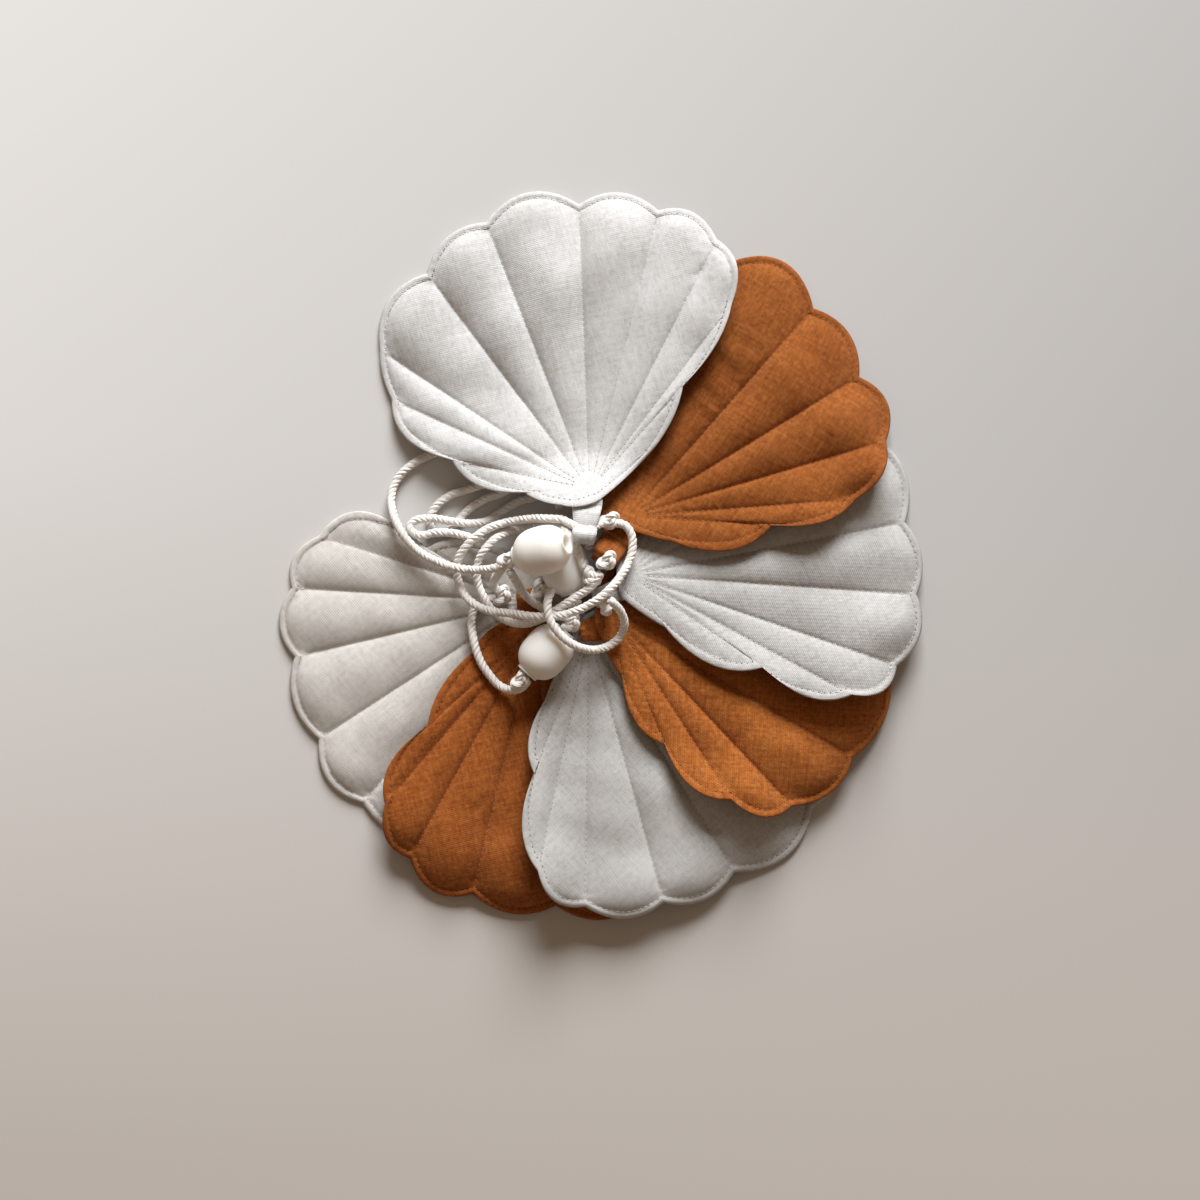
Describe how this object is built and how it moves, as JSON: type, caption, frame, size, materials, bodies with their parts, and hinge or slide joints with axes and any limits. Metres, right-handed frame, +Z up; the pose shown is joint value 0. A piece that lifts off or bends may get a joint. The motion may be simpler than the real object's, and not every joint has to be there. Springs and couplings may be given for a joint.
{
  "type": "linen scallop garland",
  "caption": "Garland of quilted scallop-shaped linen pads in natural and rust tones, gathered in a fan on a twisted cotton cord with knots and barrel beads.",
  "frame": {"origin": "middle of the box round the pads and tabs, on the surface that the garland lies on", "axes": "+Z up from the surface, +Y towards the upper light pad, +X towards the right-hand pads in the plan view"},
  "size_m": [0.2665, 0.2969, 0.0438],
  "materials": {
    "light_linen": "matt woven natural linen",
    "rust_linen": "matt woven rust linen",
    "cotton": "twisted off-white cotton cord",
    "bead": "smooth cream, slightly glossy"
  },
  "bodies": {
    "root": {"pad_a": "light_linen", "pad_b": "rust_linen", "pad_c": "light_linen", "pad_d": "rust_linen", "pad_e": "light_linen", "pad_f": "rust_linen", "pad_g": "light_linen", "tab_a": "light_linen", "tab_b": "rust_linen", "tab_c": "light_linen", "tab_d": "rust_linen", "tab_e": "light_linen", "tab_f": "rust_linen", "tab_g": "light_linen", "bead_low": "bead", "bead_front": "bead", "bead_top": "bead", "knot_low_near": "cotton", "knot_front_near": "cotton", "knot_front_far": "cotton", "knot_top_left": "cotton", "knot_side": "cotton", "knot_right_loop": "cotton", "knot_cluster": "cotton", "knot_ring_end": "cotton", "knot_tab": "cotton", "cord_floor_loop": "cotton", "cord_link": "cotton", "cord_left_loop": "cotton", "cord_right_loop": "cotton", "cord_narrow_loop": "cotton", "cord_inner_ring": "cotton", "cord_outer_ring": "cotton", "cord_outer_loop": "cotton"}
  },
  "joints": []
}
